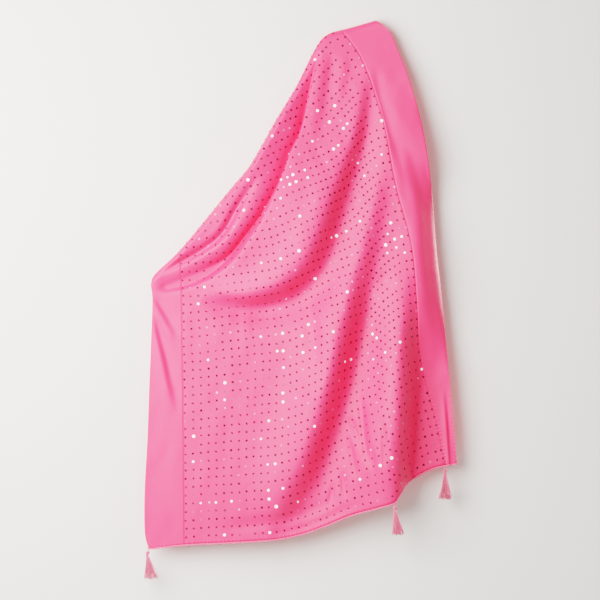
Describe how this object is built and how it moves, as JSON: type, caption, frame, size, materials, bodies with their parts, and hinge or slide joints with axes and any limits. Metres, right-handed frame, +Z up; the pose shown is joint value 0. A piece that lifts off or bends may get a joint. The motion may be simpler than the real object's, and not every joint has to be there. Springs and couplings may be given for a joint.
{
  "type": "dupatta stole, hung folded in half",
  "caption": "Dupatta stole hung folded over its holds, with soft draped folds, plain borders, a narrow rolled hem and thread tassels.",
  "frame": {"origin": "the top hold, in the hollow just under the fold that the stole hangs from", "axes": "+Z up along the hang, -Y out of the front half towards the viewer, +Y towards the wall, +X to the viewer's right"},
  "size_m": [0.6907, 0.1007, 1.2305],
  "materials": {
    "field_cloth": "soft satin",
    "border_cloth": "soft satin",
    "hem_cloth": "soft satin",
    "tassel_thread": "silky thread"
  },
  "bodies": {
    "root": {"field_front": "field_cloth", "border_left_front": "border_cloth", "border_right_front": "border_cloth", "hem_front": "hem_cloth", "field_back": "field_cloth", "border_left_back": "border_cloth", "border_right_back": "border_cloth", "hem_back": "hem_cloth", "tassel_left": "tassel_thread", "tassel_middle": "tassel_thread", "tassel_right": "tassel_thread"}
  },
  "joints": []
}
